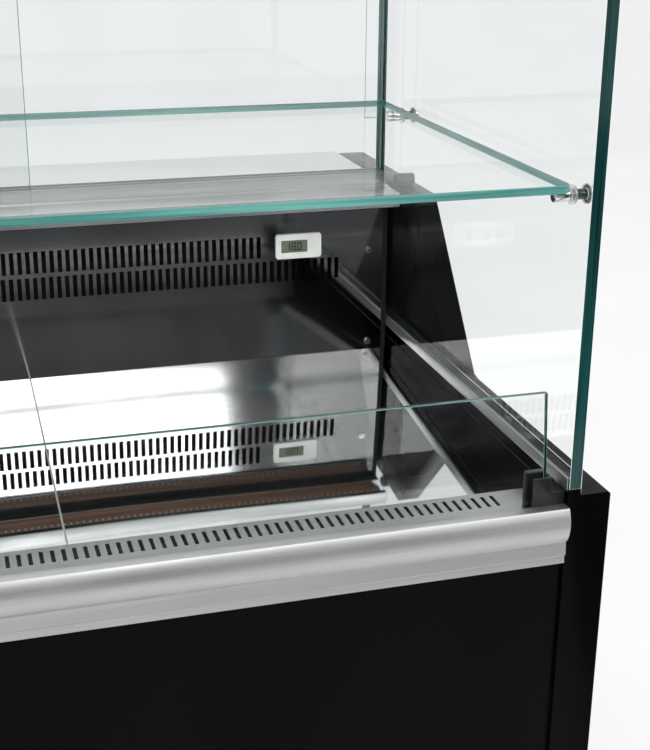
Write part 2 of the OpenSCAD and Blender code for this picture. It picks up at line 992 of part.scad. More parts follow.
// Copper lines from the compressor and the condenser up to the evaporator
module refrigerant_pipes() {
    suction_x = compressor_pos[0] + 20;
    suction_y = compressor_pos[1];
    dome_z = floor_gap + tube + 165;
    liquid_x = cond_x + 150;
    liquid_y = cond_y + 32;
    color("#b5713f") {
        pipe_run([
            [suction_x, suction_y, dome_z],
            [suction_x, suction_y, dome_z + 100],
            [pipe_x, suction_y, dome_z + 100],
            [pipe_x, pipe_ys[0], dome_z + 100],
            [pipe_x, pipe_ys[0], coil_low + 26],
            [coil_x + 8, pipe_ys[0], coil_low + 26]
        ], 6);
        pipe_run([
            [cond_x + 131, liquid_y, cond_z + 88],
            [liquid_x, liquid_y, cond_z + 88],
            [liquid_x, liquid_y, dome_z + 140],
            [liquid_x, pipe_ys[1], dome_z + 140],
            [pipe_x, pipe_ys[1], dome_z + 140],
            [pipe_x, pipe_ys[1], coil_low + 78],
            [coil_x + 8, pipe_ys[1], coil_low + 78]
        ], 4);
    }
}

// ---- Controls on the service side ----

// Electrical box on the inside of the rear panel, with the cheeks and pins of two rockers
module control_box() {
    lo = [20, rear_panel_y - 70, control_z - 60];
    hi = [260, rear_panel_y, control_z + 60];
    color("#2b2d2f") {
        difference() {
            block(lo, hi);
            block(lo + [2, 2, 2], hi - [2, 2, 2]);
            rod_y(knob_x, control_z, rear_panel_y - 3, rear_panel_y + 1, shaft_r + shaft_clear);
            for (x = rocker_xs)
                block([x - 8, rear_panel_y - 3, control_z - 12],
                    [x + 8, rear_panel_y + 1, control_z + 12]);
            block([inlet_x - 12, rear_panel_y - 3, control_z - 9],
                [inlet_x + 12, rear_panel_y + 1, control_z + 9]);
        }
        for (x = rocker_xs) {
            rod_x(pivot_y, control_z, x - 10, x + 10, pivot_r);
            for (cheek_x = [x - 10, x + 8])
                block([cheek_x, rear_panel_y - 8, control_z - 4],
                    [cheek_x + 2, rear_panel_y - 1, control_z + 4]);
        }
    }
}

// Thermostat knob with a pointer rib, on its own spindle
module thermostat_knob() {
    y0 = rear_panel_y + sheet_t + gap;
    color("#151516") {
        rod_y(knob_x, control_z, rear_panel_y - 20, y0 + 1, shaft_r);
        rod_y(knob_x, control_z, y0, y0 + 4, 19);
        rod_y(knob_x, control_z, y0 + 4, y0 + 16, 15);
        block([knob_x - 1.5, y0 + 16 - eps, control_z], [knob_x + 1.5, y0 + 18, control_z + 14]);
    }
}

// A rocker resting with its top edge out, bored for the pin that it tilts on
module rocker(x, tint) {
    color(tint)
        translate([x, pivot_y, control_z])
            rotate([-rocker_tilt, 0, 0])
                difference() {
                    along_x(-6.5, 6.5)
                        polygon([
                            [-4, -4], [-4, 4], [2, 9.5], [6.5, 9.5], [4.8, 0], [6.5, -9.5], [2, -9.5]
                        ]);
                    rod_x(0, 0, -7, 7, pivot_r + shaft_clear);
                }
}

module power_switch() { rocker(rocker_xs[0], "#1f7a3a"); }
module light_switch() { rocker(rocker_xs[1], "#202123"); }

// Appliance inlet with a recessed face and three contact pins
module power_inlet() {
    y1 = rear_panel_y + 4;
    color("#131314") {
        difference() {
            union() {
                block([inlet_x - 11.8, rear_panel_y - 24, control_z - 8.8],
                    [inlet_x + 11.8, y1, control_z + 8.8]);
                block([inlet_x - 17, rear_panel_y + sheet_t, control_z - 13],
                    [inlet_x + 17, y1, control_z + 13]);
            }
            block([inlet_x - 9.5, rear_panel_y - 12, control_z - 6.5],
                [inlet_x + 9.5, y1 + 1, control_z + 6.5]);
        }
        for (dx = [-5.5, 0, 5.5])
            block([inlet_x + dx - 1, rear_panel_y - 13, control_z - 2],
                [inlet_x + dx + 1, rear_panel_y - 1, control_z + 2]);
    }
}

base_frame();
foot_front_left();
foot_front_right();
foot_rear_left();
foot_rear_right();
end_panel_left();
end_panel_right();
front_panel();
kick_grille();
rear_panel();
tub_insulation();
tub_liner();
drain_pipe();
back_insulation();
back_wall();
wall_screws();
side_lining_left();
side_lining_right();
corner_trims();
deck_frame();
deck_pan_left();
deck_pan_right();
return_grille();
bumper();
front_glass_channel();
front_glass();
glass_end_blocks();
glass_channel_left();
glass_channel_right();
side_glass_left();
side_glass_right();
glass_clamps();
shelf_glass();
shelf_pegs();
peg_washers();
top_glass();
light_profile();
light_lens();
rear_worktop();
door_tracks();
rear_door_left();
rear_door_right();
thermometer();
thermometer_display();
evaporator();
fan_plate();
evaporator_fan_motors();
evaporator_fan_left();
evaporator_fan_right();
compressor();
condenser();
condenser_fan_motor();
condenser_fan();
evaporation_tray();
refrigerant_pipes();
control_box();
thermostat_knob();
power_switch();
light_switch();
power_inlet();
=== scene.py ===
"""Looks of a refrigerated self-service deli case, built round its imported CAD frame."""

import json
import math

import bmesh
import bpy
from mathutils import Matrix, Vector


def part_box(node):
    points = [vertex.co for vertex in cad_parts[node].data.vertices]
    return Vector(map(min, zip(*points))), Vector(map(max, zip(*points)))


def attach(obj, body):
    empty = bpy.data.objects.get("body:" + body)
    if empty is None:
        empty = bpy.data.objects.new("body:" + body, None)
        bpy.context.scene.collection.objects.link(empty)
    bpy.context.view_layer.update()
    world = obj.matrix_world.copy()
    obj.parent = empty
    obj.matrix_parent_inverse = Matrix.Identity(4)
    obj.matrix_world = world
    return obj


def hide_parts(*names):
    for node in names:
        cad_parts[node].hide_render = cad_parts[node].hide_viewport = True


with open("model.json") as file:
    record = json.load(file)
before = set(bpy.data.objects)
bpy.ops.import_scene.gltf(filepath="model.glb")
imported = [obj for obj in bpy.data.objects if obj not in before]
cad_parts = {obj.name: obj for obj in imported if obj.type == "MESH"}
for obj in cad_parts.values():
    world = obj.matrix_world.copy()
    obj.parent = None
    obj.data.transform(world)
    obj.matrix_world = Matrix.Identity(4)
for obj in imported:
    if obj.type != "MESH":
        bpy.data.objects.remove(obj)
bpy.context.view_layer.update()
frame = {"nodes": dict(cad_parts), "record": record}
record = frame["record"]

NODE_BODY = {
    node: body
    for body, nodes in record["behaviour"]["bodies"].items()
    for node in nodes
}
NODE_SLOT = {part["node"]: part["material_slot"] for part in record["subparts"]}
MM = 0.001
NOISE_LOW, NOISE_HIGH = 0.3, 0.7    # most of a noise texture lies between these
LONG_GRAIN = {"x": (0.02, 1, 1), "y": (1, 0.02, 1), "z": (1, 1, 0.02)}    # noise drawn out along an axis


# ---- Materials ----

class Surface:
    """A Principled material whose detail comes from noise in the object's own space."""

    def __init__(self, name, color, metallic=0.0, roughness=0.5):
        self.material = bpy.data.materials.new(name)
        self.material.use_nodes = True
        self.tree = self.material.node_tree
        self.shader = self.tree.nodes["Principled BSDF"]
        self.shader.inputs["Base Color"].default_value = (*color, 1)
        self.shader.inputs["Metallic"].default_value = metallic
        self.shader.inputs["Roughness"].default_value = roughness

    def node(self, kind, **values):
        made = self.tree.nodes.new(kind)
        for key, value in values.items():
            made.inputs[key.replace("_", " ")].default_value = value
        return made

    def link(self, source, target):
        self.tree.links.new(source, target)

    def noise(self, scale, stretch=(1, 1, 1), detail=4.0):
        place = self.node("ShaderNodeTexCoord")
        mapping = self.node("ShaderNodeMapping", Scale=stretch)
        noise = self.node("ShaderNodeTexNoise", Scale=scale, Detail=detail)
        self.link(place.outputs["Object"], mapping.inputs["Vector"])
        self.link(mapping.outputs["Vector"], noise.inputs["Vector"])
        return noise.outputs["Fac"]

    def color_range(self, value, dark, light, low=NOISE_LOW, high=NOISE_HIGH):
        ramp = self.node("ShaderNodeValToRGB")
        ramp.color_ramp.elements[0].position = low
        ramp.color_ramp.elements[0].color = (*dark, 1)
        ramp.color_ramp.elements[1].position = high
        ramp.color_ramp.elements[1].color = (*light, 1)
        self.link(value, ramp.inputs["Fac"])
        self.link(ramp.outputs["Color"], self.shader.inputs["Base Color"])
        return ramp.outputs["Color"]

    def roughness_range(self, value, low, high):
        spread = self.node("ShaderNodeMapRange")
        spread.inputs["From Min"].default_value = NOISE_LOW
        spread.inputs["From Max"].default_value = NOISE_HIGH
        spread.inputs["To Min"].default_value = low
        spread.inputs["To Max"].default_value = high
        self.link(value, spread.inputs["Value"])
        self.link(spread.outputs["Result"], self.shader.inputs["Roughness"])

    def bump(self, value, strength, depth):
        bump = self.node("ShaderNodeBump", Strength=strength, Distance=depth)
        self.link(value, bump.inputs["Height"])
        self.link(bump.outputs["Normal"], self.shader.inputs["Normal"])


def scaled(color, factor):
    return tuple(min(1.0, channel * factor) for channel in color)


def painted(name, color, gloss=(0.28, 0.42), shine=0.5):
    """Powder coat: a fine grain with faint handling marks."""
    surface = Surface(name, color)
    surface.shader.inputs["Specular IOR Level"].default_value = shine
    marks = surface.noise(9, (1, 1, 0.5), 6)
    surface.color_range(marks, scaled(color, 0.75), scaled(color, 1.35))
    surface.roughness_range(marks, *gloss)
    surface.bump(surface.noise(900), 0.06, 0.0004)
    return surface.material


def brushed(name, color, along="x", gloss=(0.22, 0.34), lines=0.05, contrast=0.1):
    """Brushed metal whose lines run along one axis."""
    surface = Surface(name, color, metallic=1.0)
    grain = surface.noise(700, LONG_GRAIN[along], 5)
    surface.color_range(grain, scaled(color, 1 - contrast), scaled(color, 1 + contrast))
    surface.roughness_range(surface.noise(14, detail=6), *gloss)
    surface.bump(grain, lines, 0.0003)
    return surface.material


def plastic(name, color, gloss=(0.35, 0.5), grain=0.05):
    """Moulded plastic with a fine texture."""
    surface = Surface(name, color)
    surface.shader.inputs["Specular IOR Level"].default_value = 0.35
    surface.color_range(surface.noise(40, detail=5), scaled(color, 0.88), scaled(color, 1.12))
    surface.roughness_range(surface.noise(25, detail=6), *gloss)
    surface.bump(surface.noise(1500), grain, 0.0003)
    return surface.material


def mirror_sheet(name, color, gloss, wave, rim=1.0):
    """Polished sheet, a little wavy, with faint long scratches; rim tints grazing reflections."""
    surface = Surface(name, color, metallic=1.0)
    surface.shader.inputs["Specular Tint"].default_value = (rim, rim, rim, 1)
    scratches = surface.noise(500, (0.01, 1, 1), 3)
    surface.color_range(scratches, scaled(color, 0.95), scaled(color, 1.03))
    surface.roughness_range(surface.noise(10, detail=6), *gloss)
    surface.bump(surface.noise(3.2, (0.6, 1, 1), 1), 1.0, wave)
    return surface.material


def foam(name, color):
    """Rigid foam with open cells."""
    surface = Surface(name, color, roughness=0.95)
    place = surface.node("ShaderNodeTexCoord")
    cells = surface.node("ShaderNodeTexVoronoi", Scale=420)
    surface.link(place.outputs["Object"], cells.inputs["Vector"])
    surface.color_range(surface.noise(12), scaled(color, 0.8), scaled(color, 1.1))
    surface.bump(cells.outputs["Distance"], 0.5, 0.001)
    return surface.material


def clear_pane(name, tint, smudge=0.01):
    """The face of a glass pane: clear, with a reflection that grows at grazing angles."""
    share_facing = 0.03
    share_gained = 0.32
    falloff = 5
    surface = Surface(name, (1, 1, 1), metallic=1.0)
    surface.roughness_range(surface.noise(7, detail=6), 0.0, smudge)
    clear = surface.node("ShaderNodeBsdfTransparent")
    ramp = surface.node("ShaderNodeValToRGB")
    ramp.color_ramp.elements[0].color = (*scaled(tint, 0.99), 1)
    ramp.color_ramp.elements[1].color = (*tint, 1)
    surface.link(surface.noise(5), ramp.inputs["Fac"])
    surface.link(ramp.outputs["Color"], clear.inputs["Color"])
    grazing = surface.node("ShaderNodeLayerWeight", Blend=0.5)
    steep = surface.node("ShaderNodeMath")
    steep.operation = "POWER"
    steep.inputs[1].default_value = falloff
    share = surface.node("ShaderNodeMath")
    share.operation = "MULTIPLY_ADD"
    share.inputs[1].default_value = share_gained
    share.inputs[2].default_value = share_facing
    mix = surface.node("ShaderNodeMixShader")
    surface.link(grazing.outputs["Facing"], steep.inputs[0])
    surface.link(steep.outputs["Value"], share.inputs[0])
    surface.link(share.outputs["Value"], mix.inputs["Fac"])
    surface.link(clear.outputs["BSDF"], mix.inputs[1])
    surface.link(surface.shader.outputs["BSDF"], mix.inputs[2])
    surface.link(mix.outputs["Shader"], surface.tree.nodes["Material Output"].inputs["Surface"])
    return surface.material


def clear_plastic(name, tint):
    """Clear moulded plastic, slightly clouded."""
    surface = Surface(name, tint)
    surface.shader.inputs["Transmission Weight"].default_value = 0.85
    surface.shader.inputs["IOR"].default_value = 1.45
    surface.color_range(surface.noise(60), scaled(tint, 0.94), tint)
    surface.roughness_range(surface.noise(90), 0.04, 0.16)
    return surface.material


def glass_edge(name, along, dark, light):
    """The polished edge of a pane: green, with bright and dark streaks along its length, and a faint
    painted glow.
    """
    surface = Surface(name, light, roughness=0.1)
    streaks = surface.noise(220, LONG_GRAIN[along], 3)
    color = surface.color_range(streaks, dark, light, 0.38, 0.7)
    # Painted glow: the edge emits its own streaked green, standing in for light carried inside the
    # glass.
    surface.link(color, surface.shader.inputs["Emission Color"])
    surface.shader.inputs["Emission Strength"].default_value = 0.08
    surface.shader.inputs["Specular IOR Level"].default_value = 0.3
    return surface.material


def ground_glass(name, color):
    """The frosted chamfer along the rim of a pane."""
    surface = Surface(name, color)
    surface.color_range(surface.noise(150), scaled(color, 0.85), scaled(color, 1.1))
    surface.roughness_range(surface.noise(80), 0.35, 0.55)
    return surface.material


def glowing(name, color, strength):
    """A diffuser lit from inside, with streaks along its length."""
    surface = Surface(name, color, roughness=0.4)
    streaks = surface.noise(160, (0.03, 1, 1), 3)
    glow = surface.color_range(streaks, scaled(color, 0.45), scaled(color, 1.15))
    surface.link(glow, surface.shader.inputs["Emission Color"])
    surface.shader.inputs["Emission Strength"].default_value = strength
    return surface.material


def material_set():
    """One material for each slot of the record."""
    black = (0.012, 0.012, 0.013)
    return {
        "black_panel": painted("black_panel", (0.0018, 0.0018, 0.002), (0.2, 0.32), shine=0.04),
        "frame_paint": painted("frame_paint", (0.05, 0.05, 0.055), (0.45, 0.6)),
        "foot_plastic": plastic("foot_plastic", black),
        "galvanised": brushed(
            "galvanised", (0.46, 0.47, 0.48), "z", (0.35, 0.5), lines=0.04, contrast=0.06
        ),
        "stainless_liner": brushed("stainless_liner", (0.55, 0.55, 0.56), "x", (0.25, 0.4)),
        "mirror_steel": mirror_sheet("mirror_steel", (0.78, 0.78, 0.785), (0.015, 0.04), 3 * MM),
        "slotted_steel": mirror_sheet("slotted_steel", (0.6, 0.6, 0.605), (0.05, 0.09), 0.8 * MM),
        "grille_steel": brushed(
            "grille_steel", (0.38, 0.38, 0.375), "x", (0.28, 0.36), lines=0.03, contrast=0.06
        ),
        "dark_lining": mirror_sheet(
            "dark_lining", (0.04, 0.04, 0.042), (0.1, 0.18), 0.3 * MM, rim=0.4
        ),
        "fastener_steel": brushed("fastener_steel", (0.7, 0.7, 0.71), "x", (0.12, 0.25)),
        "foam": foam("foam", (0.72, 0.62, 0.38)),
        "pipe_plastic": plastic("pipe_plastic", (0.7, 0.71, 0.71)),
        "black_rubber": plastic("black_rubber", (0.01, 0.01, 0.011), (0.6, 0.75), grain=0.12),
        # Near-black duct board: painted shade, so the back wall's slots read as the shaded duct behind
        # them.
        "duct_board": plastic("duct_board", (0.006, 0.006, 0.006), (0.7, 0.85), grain=0.2),
        "bumper_metal": brushed(
            "bumper_metal", (0.55, 0.55, 0.555), "x", (0.42, 0.5), lines=0.03, contrast=0.05
        ),
        "profile_metal": brushed("profile_metal", (0.5, 0.505, 0.51), "x", (0.3, 0.42), lines=0.04),
        "black_plastic": plastic("black_plastic", black, (0.25, 0.38)),
        "clear_glass": clear_pane("clear_glass", (0.985, 0.996, 0.991)),
        "washer_plastic": clear_plastic("washer_plastic", (0.9, 0.92, 0.92)),
        "light_diffuser": glowing("light_diffuser", (0.26, 0.13, 0.075), strength=0.05),
        "worktop_steel": brushed("worktop_steel", (0.8, 0.8, 0.81), "x", (0.27, 0.32)),
        "white_plastic": plastic("white_plastic", (0.82, 0.83, 0.81), (0.25, 0.35), grain=0.02),
        "display_panel": plastic("display_panel", (0.16, 0.175, 0.13), (0.12, 0.2), grain=0.0),
        "coil_fins": brushed("coil_fins", (0.62, 0.63, 0.65), "z", (0.3, 0.45)),
        "motor_paint": painted("motor_paint", (0.03, 0.032, 0.035)),
        "fan_plastic": plastic("fan_plastic", (0.05, 0.055, 0.06)),
        "fan_metal": brushed("fan_metal", (0.5, 0.51, 0.52), "x", (0.3, 0.45)),
        "compressor_paint": painted("compressor_paint", (0.012, 0.012, 0.014), (0.12, 0.22)),
        "condenser_paint": painted("condenser_paint", (0.04, 0.04, 0.042)),
        "tray_steel": brushed("tray_steel", (0.5, 0.5, 0.5), "y", (0.35, 0.5)),
        "copper": brushed(
            "copper", (0.72, 0.36, 0.22), "z", (0.22, 0.4), lines=0.03, contrast=0.25
        ),
        "box_plastic": plastic("box_plastic", (0.035, 0.037, 0.04)),
        "knob_plastic": plastic("knob_plastic", black, (0.22, 0.32)),
        "green_rocker": plastic("green_rocker", (0.015, 0.32, 0.08), (0.12, 0.2), grain=0.0),
        "black_rocker": plastic("black_rocker", black, (0.12, 0.2), grain=0.0),
    }


MATERIALS = material_set()


# ---- Pieces ----

def link_piece(piece, body, *materials):
    """Adds a piece to the scene, riding on a body, with its materials."""
    bpy.context.scene.collection.objects.link(piece)
    for material in materials:
        piece.data.materials.append(material)
    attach(piece, body)
    return piece


def object_from(name, shape):
    """Turns a mesh under construction into an object of that name."""
    mesh = bpy.data.meshes.new(name)
    shape.to_mesh(mesh)
    shape.free()
    return bpy.data.objects.new(name, mesh)


def from_bmesh(name, shape, body, *materials):
    """Makes a piece of the case from a mesh under construction."""
    return link_piece(object_from(name, shape), body, *materials)


def rounded(piece, width):
    """Rounds a piece's sharp edges with a bevel."""
    bevel = piece.modifiers.new("rounded_edges", "BEVEL")
    bevel.width = width
    bevel.segments = 2
    bevel.limit_method = "ANGLE"
    bevel.angle_limit = math.radians(35)
    bevel.harden_normals = True
    piece.data.shade_smooth()


def node_shape(node):
    """The CAD node's surface, with whole faces instead of triangles."""
    shape = bmesh.new()
    shape.from_mesh(frame["nodes"][node].data)
    bmesh.ops.remove_doubles(shape, verts=shape.verts, dist=0.00001)
    bmesh.ops.dissolve_limit(
        shape, angle_limit=math.radians(1), verts=shape.verts, edges=shape.edges
    )
    return shape


def soften(node, width):
    """A copy of the node with rounded edges stands for it."""
    piece = from_bmesh(
        node + "_form", node_shape(node), NODE_BODY[node], MATERIALS[NODE_SLOT[node]]
    )
    rounded(piece, width)
    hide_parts(node)


def glaze(node, thin_axis, edges, rim, rim_width):
    """A pane with chamfered rims stands for the node; edges has an edge material for each axis."""
    shape = node_shape(node)
    for face in shape.faces:
        facing = max(range(3), key=lambda axis: abs(face.normal[axis]))
        if facing != thin_axis:
            along = 3 - facing - thin_axis
            face.material_index = 1 + along
    piece = from_bmesh(
        node + "_pane", shape, NODE_BODY[node], MATERIALS["clear_glass"], *edges, rim
    )
    bevel = piece.modifiers.new("ground_edges", "BEVEL")
    bevel.width = rim_width
    bevel.segments = 1
    bevel.material = len(edges) + 1
    bevel.limit_method = "ANGLE"
    bevel.angle_limit = math.radians(50)
    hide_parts(node)


def add_box(shape, corner, opposite):
    """Adds a box between two opposite corners to a mesh under construction."""
    low = Vector([min(pair) for pair in zip(corner, opposite)])
    high = Vector([max(pair) for pair in zip(corner, opposite)])
    size = Matrix.Diagonal((*(high - low), 1))
    bmesh.ops.create_cube(shape, size=1, matrix=Matrix.Translation((low + high) / 2) @ size)


def add_disc(shape, foot, axis, radius, depth, sides, top=None):
    """Adds a short cylinder that stands on foot along axis; top makes it a cone of that top radius."""
    turn = Vector(axis).to_track_quat("Z", "Y").to_matrix().to_4x4()
    middle = Vector(foot) + Vector(axis) * depth / 2
    bmesh.ops.create_cone(
        shape, cap_ends=True, segments=sides, radius1=radius,
        radius2=radius if top is None else top, depth=depth,
        matrix=Matrix.Translation(middle) @ turn,
    )


def screws(name, places, axis, radius, body, material):
    """Pan-head screws at places, facing along the horizontal axis, with a slim cross on each head."""
    head_height = 0.5 * radius
    crown_radius = 0.75 * radius
    bar_reach, bar_width, bar_rise = 0.45 * radius, 0.08 * radius, 0.06 * radius
    shape = bmesh.new()
    face = Vector(axis)
    upright = Vector((0, 0, 1))
    for place in places:
        add_disc(shape, place, face, radius, head_height, 20, crown_radius)
        top = Vector(place) + face * head_height
        for direction in (upright, face.cross(upright)):
            half = direction * bar_reach + face.cross(direction) * bar_width + face * bar_rise
            add_box(shape, top - half, top + half)
    from_bmesh(name, shape, body, material)


def tube(name, points, radius, body, material, closed=False):
    """A round bar or bead along straight legs through the points."""
    curve = bpy.data.curves.new(name, "CURVE")
    curve.dimensions = "3D"
    curve.bevel_depth = radius
    curve.bevel_resolution = 4
    curve.use_fill_caps = True
    line = curve.splines.new("POLY")
    line.points.add(len(points) - 1)
    for point, place in zip(line.points, points):
        point.co = (*place, 1)
    line.use_cyclic_u = closed
    link_piece(bpy.data.objects.new(name, curve), body, material)


def half_turn(centre, start, out):
    """Points of a half circle about centre that starts at centre + start and bulges along out."""
    steps = 12
    return [
        Vector(centre) + Vector(start) * math.cos(math.pi * i / steps)
        + Vector(out) * math.sin(math.pi * i / steps)
        for i in range(steps + 1)
    ]


def dress_nodes():
    """Gives each CAD node the material of its slot."""
    for node, slot in NODE_SLOT.items():
        obj = frame["nodes"][node]
        if not obj.material_slots:
            obj.data.materials.append(MATERIALS[slot])
        for holder in obj.material_slots:
            holder.material = MATERIALS[slot]


def edge_set(name, dark, light):
    """One edge material for each axis that an edge can run along."""
    return [glass_edge(f"{name}_{axis}", axis, dark, light) for axis in "xyz"]


def glass_panes():
    """The panes, with edges of one green glass painted darker on the upright ones (painted shade) and
    lighter on the level ones (painted light).
    """
    # Lit and shaded copies of one edge material: painted shade on the upright panes' edges, painted
    # light on the level panes' edges.
    shaded_edges = edge_set("shaded_glass_edge", (0.001, 0.008, 0.008), (0.007, 0.055, 0.05))
    lit_edges = edge_set("lit_glass_edge", (0.015, 0.1, 0.088), (0.13, 0.34, 0.31))
    white_rim = ground_glass("white_rim", (0.75, 0.8, 0.79))
    green_rim = ground_glass("green_rim", (0.12, 0.3, 0.27))
    for node in ("side_glass_left", "side_glass_right"):
        glaze(node, 0, shaded_edges, white_rim, 1.2 * MM)
    for node in ("front_glass", "rear_door_left", "rear_door_right"):
        glaze(node, 1, shaded_edges, green_rim, 0.4 * MM)
    for node in ("shelf_glass", "top_glass"):
        glaze(node, 2, lit_edges, green_rim, 0.5 * MM)


def softened_parts():
    """Stands softened copies for the parts whose edges catch the light; widths in millimetres."""
    widths = {
        "end_panel_left": 0.8,
        "end_panel_right": 0.8,
        "bumper": 0.25,
        "rear_worktop": 0.6,
        "light_profile": 0.4,
        "glass_end_blocks": 0.8,
        "thermometer": 0.6,
        "compressor": 2.0,
        "thermostat_knob": 0.8,
        "power_switch": 0.6,
        "light_switch": 0.6,
        "power_inlet": 0.5,
        "glass_clamps": 1.2,
        "shelf_pegs": 0.6,
        "control_box": 1.0,
        "base_frame": 1.5,
        "foot_front_left": 0.8,
        "foot_front_right": 0.8,
        "foot_rear_left": 0.8,
        "foot_rear_right": 0.8,
        "glass_channel_left": 0.25,
        "glass_channel_right": 0.25,
    }
    for node, width in widths.items():
        soften(node, width * MM)


def side_screws(name, y, facing, x, heights, radius):
    """Screws down both sides of a panel, at x and -x; facing is -1 at the front, 1 at the rear."""
    places = [(side * x, y, z) for side in (-1, 1) for z in heights]
    screws(name, places, (0, facing, 0), radius, "case", MATERIALS["fastener_steel"])


def panel_screws():
    """Fixing screws of the outer panels."""
    low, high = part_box("front_panel")
    heights = [low.z + 30 * MM, (low.z + high.z) / 2]
    side_screws("front_panel_screws", low.y, -1, high.x - 8 * MM, heights, 2.2 * MM)
    low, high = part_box("kick_grille")
    heights = [low.z + 10 * MM, high.z - 10 * MM]
    side_screws("kick_screws", low.y, -1, high.x - 8 * MM, heights, 2.5 * MM)
    low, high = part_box("rear_panel")
    heights = [low.z + (high.z - low.z) * part for part in (0.03, 0.26, 0.5, 0.74, 0.95)]
    side_screws("rear_panel_screws", high.y, 1, high.x - 10 * MM, heights, 3 * MM)


def display_digits():
    """A generic reading of 18.0 in seven-segment digits on the thermometer's display."""
    lit = {"1": "bc", "8": "abcdefg", "0": "abcdef"}
    low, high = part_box("thermometer_display")
    height = 8.4 * MM
    width = 4.4 * MM
    thick = 1.0 * MM
    margin = 4.5 * MM
    gap = 1.6 * MM
    half_depth = 0.1 * MM
    z = (low.z + high.z) / 2
    y = low.y
    shape = bmesh.new()

    def bar(x0, x1, z0, z1):
        add_box(shape, (x0, y - half_depth, z0), (x1, y + half_depth, z1))

    x = low.x + margin
    for digit in "180":
        left, right = x, x + width
        places = {
            "a": (left, right, z + height / 2 - thick, z + height / 2),
            "g": (left, right, z - thick / 2, z + thick / 2),
            "d": (left, right, z - height / 2, z - height / 2 + thick),
            "f": (left, left + thick, z, z + height / 2),
            "e": (left, left + thick, z - height / 2, z),
            "b": (right - thick, right, z, z + height / 2),
            "c": (right - thick, right, z - height / 2, z),
        }
        for segment in lit[digit]:
            bar(*places[segment])
        x += width + gap
    dot = low.x + margin + 2 * width + 1.9 * MM
    bar(dot, dot + thick, z - height / 2, z - height / 2 + thick)
    from_bmesh("display_digits", shape, "case", MATERIALS["black_plastic"])


def light_strip():
    """A row of light-emitting chips that shows through the diffuser's underside."""
    low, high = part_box("light_lens")
    y = low.y + 3 * MM
    count = 110
    shape = bmesh.new()
    for i in range(count):
        x = low.x + (i + 0.5) * (high.x - low.x) / count
        add_disc(shape, (x, y, low.z), (0, 0, -1), 1.1 * MM, 0.4 * MM, 12)
    chips = glowing("light_chips", (0.75, 0.64, 0.46), strength=0.12)
    from_bmesh("light_strip_chips", shape, "case", chips)


def lining_seams():
    """The joint line along each side lining, a little above the deck."""
    for side, inner in (("left", 1), ("right", 0)):
        low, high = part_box("side_lining_" + side)
        x = (low.x, high.x)[inner]
        z = high.z - 12 * MM
        tube(
            "lining_seam_" + side, [(x, low.y + 2 * MM, z), (x, high.y - 2 * MM, z)],
            0.5 * MM, "case", MATERIALS["black_rubber"],
        )


def light_gaskets():
    """Dark gasket strips under the two lips of the light profile, beside the diffuser."""
    low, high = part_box("light_profile")
    lens_low, lens_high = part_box("light_lens")
    strips = {"front": (low.y, lens_low.y), "rear": (lens_high.y, high.y)}
    for row, (front, back) in strips.items():
        shape = bmesh.new()
        add_box(
            shape,
            (low.x + 1 * MM, front + 0.4 * MM, low.z - 0.6 * MM),
            (high.x - 1 * MM, back - 1.6 * MM, low.z + 0.4 * MM),
        )
        piece = from_bmesh(f"light_gasket_{row}", shape, "case", MATERIALS["black_rubber"])
        rounded(piece, 0.3 * MM)


def seals():
    """Beads of sealant along both faces of each side glass, where it leaves its channel."""
    for side in ("left", "right"):
        low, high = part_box("side_glass_" + side)
        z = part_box("glass_channel_" + side)[1].z - 0.4 * MM
        for end, x in (("west", low.x), ("east", high.x)):
            tube(
                f"glass_bead_{side}_{end}",
                [(x, low.y + 4 * MM, z), (x, high.y - 2 * MM, z)],
                0.5 * MM, "case", MATERIALS["black_rubber"],
            )


def coil_ends(node):
    """For each end of a coil: its name, x, the way out, and the first tube that a bend joins there."""
    low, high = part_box(node)
    return ("left", low.x, -1, 0), ("right", high.x, 1, 1)


def return_bend(name, place, spacing, bulge, radius):
    """A U-shaped end that joins two tubes, one spacing apart and one over the other."""
    bend = half_turn(place, (0, 0, spacing / 2), (bulge, 0, 0))
    tube(name, bend, radius, "case", MATERIALS["copper"])


def evaporator_bends():
    """Return bends at both ends of the evaporator, in its two rows of tubes."""
    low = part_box("evaporator")[0]
    spacing = 26 * MM
    for end, x, out, first in coil_ends("evaporator"):
        for row in range(2):
            y = low.y + 30 * MM + 45 * MM * row
            place = (x, y, low.z + (first + 1.5) * spacing)
            return_bend(f"evaporator_bend_{end}_{row}", place, spacing, out * 11 * MM, 5.2 * MM)


def condenser_bends():
    """Return bends at both ends of the condenser's single row of tubes."""
    low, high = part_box("condenser")
    spacing = 44 * MM
    top_tube = high.z - 22 * MM
    for end, x, out, first in coil_ends("condenser"):
        for row in range(2):
            place = (x, low.y + 12 * MM, top_tube - (first + 0.5 + 2 * row) * spacing)
            return_bend(f"condenser_bend_{end}_{row}", place, spacing, out * 18 * MM, 4.4 * MM)


def compressor_seam():
    """The weld seam round the compressor's shell."""
    low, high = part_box("compressor")
    centre = Vector(((low.x + high.x) / 2, high.y - 80 * MM, low.z + 98 * MM))
    radius = 78.5 * MM
    steps = 48
    ring = []
    for i in range(steps):
        angle = math.tau * i / steps
        ring.append(centre + Vector((math.cos(angle), math.sin(angle), 0)) * radius)
    tube("compressor_seam", ring, 1.6 * MM, "case", MATERIALS["compressor_paint"], closed=True)


def controls_height():
    """The height of the row of controls, at the middle of the knob."""
    low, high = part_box("thermostat_knob")
    return (low.z + high.z) / 2


def knob_scale():
    """A scale of growing dots round three quarters of the knob."""
    low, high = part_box("thermostat_knob")
    centre = Vector(((low.x + high.x) / 2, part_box("rear_panel")[1].y, controls_height()))
    dots = 8
    shape = bmesh.new()
    for i in range(dots):
        angle = math.radians(90 + 270 * i / (dots - 1))
        place = centre + Vector((math.cos(angle), 0, math.sin(angle))) * 24 * MM
        add_disc(shape, place, (0, 1, 0), (0.7 + 0.12 * i) * MM, 0.25 * MM, 14)
    from_bmesh("knob_scale", shape, "case", MATERIALS["black_plastic"])


